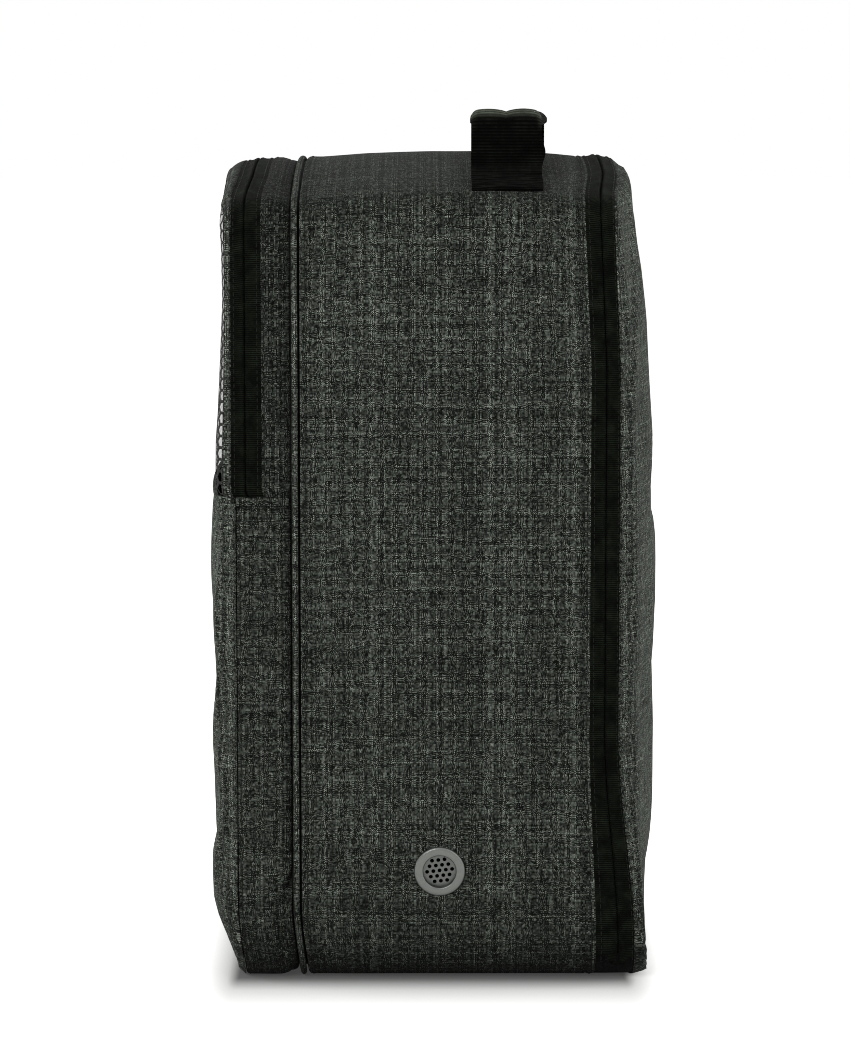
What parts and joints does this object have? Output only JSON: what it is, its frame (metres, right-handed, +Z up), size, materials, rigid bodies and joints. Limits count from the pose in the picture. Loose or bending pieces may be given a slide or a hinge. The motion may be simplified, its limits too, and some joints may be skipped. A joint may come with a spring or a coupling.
{
  "type": "shoe bag",
  "caption": "Free-standing padded shoe bag with a zipped lid, a zipped pocket with a mesh flap, a webbing handle and two vents.",
  "frame": {"origin": "on the floor, under the middle of the bag's depth and width", "axes": "+Z up, +X from the front pocket towards the lid, +Y towards the far side"},
  "size_m": [0.2012, 0.2359, 0.378],
  "materials": {
    "heather_fabric": "heather woven polyester",
    "lining": "smooth woven lining",
    "foam": "closed-cell foam",
    "zip_tape": "woven tape",
    "zip_coil": "nylon coil",
    "vent_steel": "satin",
    "vent_screen": "satin, perforated",
    "vent_washer": "satin",
    "zip_metal": "black",
    "webbing": "ribbed webbing",
    "mesh": "spacer mesh",
    "board": "plain sheet"
  },
  "bodies": {
    "bag": {"main_gusset": "heather_fabric", "main_gusset_foam": "foam", "main_gusset_lining": "lining", "hinge_strip": "heather_fabric", "divider_panel": "lining", "divider_foam": "foam", "divider_lining": "lining", "bottom_board": "board", "front_piping": "heather_fabric", "divider_binding": "zip_tape", "zip_seam_binding": "zip_tape", "main_zip_tape_body": "zip_tape", "main_zip_coil_body": "zip_coil", "pocket_gusset_lower": "heather_fabric", "pocket_zip_end_bands": "heather_fabric", "pocket_gusset_upper": "heather_fabric", "pocket_zip_tape_body": "zip_tape", "pocket_zip_coil_body": "zip_coil", "front_panel": "heather_fabric", "front_panel_lining": "lining", "front_panel_hem": "heather_fabric", "handle_strap": "webbing", "vent_eyelets": "vent_steel", "vent_screens": "vent_screen", "vent_washers": "vent_washer"},
    "lid": {"lid_panel": "heather_fabric", "lid_foam": "foam", "lid_lining": "lining", "lid_seam_binding": "zip_tape", "lid_zip_tape": "zip_tape", "lid_zip_coil": "zip_coil"},
    "flap": {"flap_border": "heather_fabric", "flap_mesh": "mesh", "flap_zip_tape": "zip_tape", "flap_zip_coil": "zip_coil"},
    "main_slider": {"main_slider": "zip_metal"},
    "main_pull": {"main_pull": "zip_metal"},
    "pocket_slider": {"pocket_slider": "zip_metal"},
    "pocket_pull": {"pocket_pull": "zip_metal"}
  },
  "joints": [
    {"name": "lid_hinge", "type": "hinge", "parent": "bag", "child": "lid", "pos_m": [0.095, 0, 0.004], "axis": [0, 1, 0], "range_deg": [0, 90]},
    {"name": "flap_hinge", "type": "hinge", "parent": "bag", "child": "flap", "pos_m": [-0.101, 0, 0.2126], "axis": [0, -1, 0], "range_deg": [0, 165]},
    {"name": "main_slider_slide", "type": "slide", "parent": "bag", "child": "main_slider", "axis": [0, 0, 1], "range_m": [0, 0.2765]},
    {"name": "pocket_slider_slide", "type": "slide", "parent": "bag", "child": "pocket_slider", "axis": [0, 0, 1], "range_m": [0, 0.0927]},
    {"name": "main_pull_swing", "type": "hinge", "parent": "main_slider", "child": "main_pull", "pos_m": [0.07465, 0.1174, 0.035], "axis": [1, 0, 0], "range_deg": [0, 170]},
    {"name": "pocket_pull_swing", "type": "hinge", "parent": "pocket_slider", "child": "pocket_pull", "pos_m": [-0.0777, 0.1174, 0.2188], "axis": [1, 0, 0], "range_deg": [0, 170]}
  ]
}
